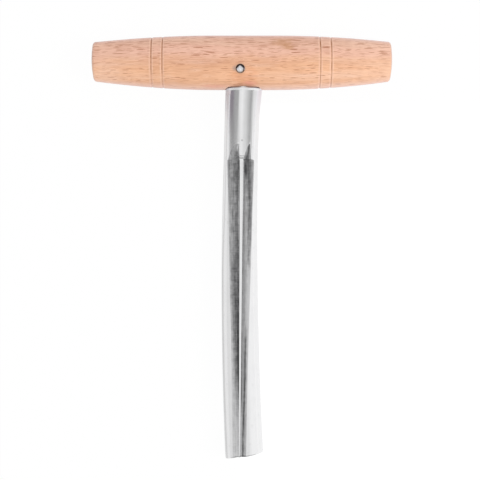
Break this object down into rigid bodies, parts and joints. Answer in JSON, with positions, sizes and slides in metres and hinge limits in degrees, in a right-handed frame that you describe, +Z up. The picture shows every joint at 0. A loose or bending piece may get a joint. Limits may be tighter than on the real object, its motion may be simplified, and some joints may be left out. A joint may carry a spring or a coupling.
{
  "type": "peg reamer",
  "caption": "Hand reamer with a turned wooden cross handle, a pinned round shank and a fluted steel blade that opens tapered peg holes.",
  "frame": {"origin": "on the bench under the middle of the tool's box, with the tool lying on the handle's belly and the tip of the steel", "axes": "+X along the handle to its right end seen from the front, +Y from the tip of the steel towards the handle, +Z up out of the bench and out of the tool's front"},
  "size_m": [0.11, 0.1547, 0.0197],
  "materials": {
    "beech": "bare turned beech, sanded, short dark flecks along the handle",
    "ground_steel": "polished lands and shank, grey milled flutes",
    "pin_steel": "cut wire end, slightly rough"
  },
  "bodies": {
    "root": {"handle": "beech", "reamer": "ground_steel", "cross_pin": "pin_steel"}
  },
  "joints": []
}
